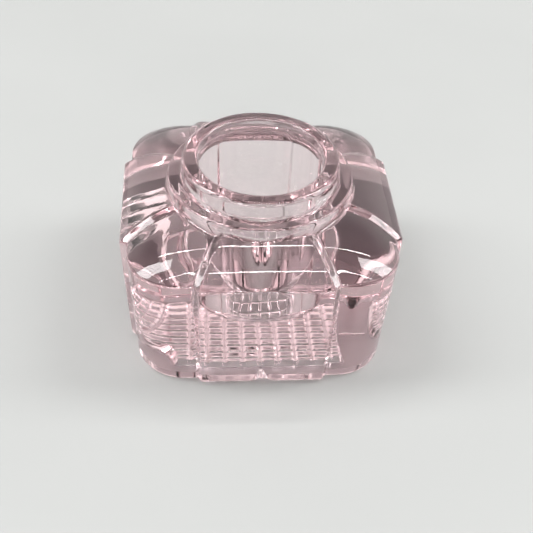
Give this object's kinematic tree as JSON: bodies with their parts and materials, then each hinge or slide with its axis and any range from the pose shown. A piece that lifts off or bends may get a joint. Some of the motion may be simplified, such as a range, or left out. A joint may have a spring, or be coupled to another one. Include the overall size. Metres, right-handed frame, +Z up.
{
  "type": "pressed-glass inkwell body",
  "caption": "Square pressed-glass inkwell block with raised side panels, round corner lobes, a domed shoulder, a ringed neck and a wide, deep round well.",
  "frame": {"origin": "centre of the foot, on the surface that the block stands on", "axes": "+Z up along the well's axis; -Y is the outward normal of one raised side panel"},
  "size_m": [0.064, 0.064, 0.0432],
  "materials": {
    "amethyst_glass": "clear, pale pink-lilac, fire-polished, slightly wavy"
  },
  "bodies": {
    "root": {"glass_body": "amethyst_glass"}
  },
  "joints": []
}
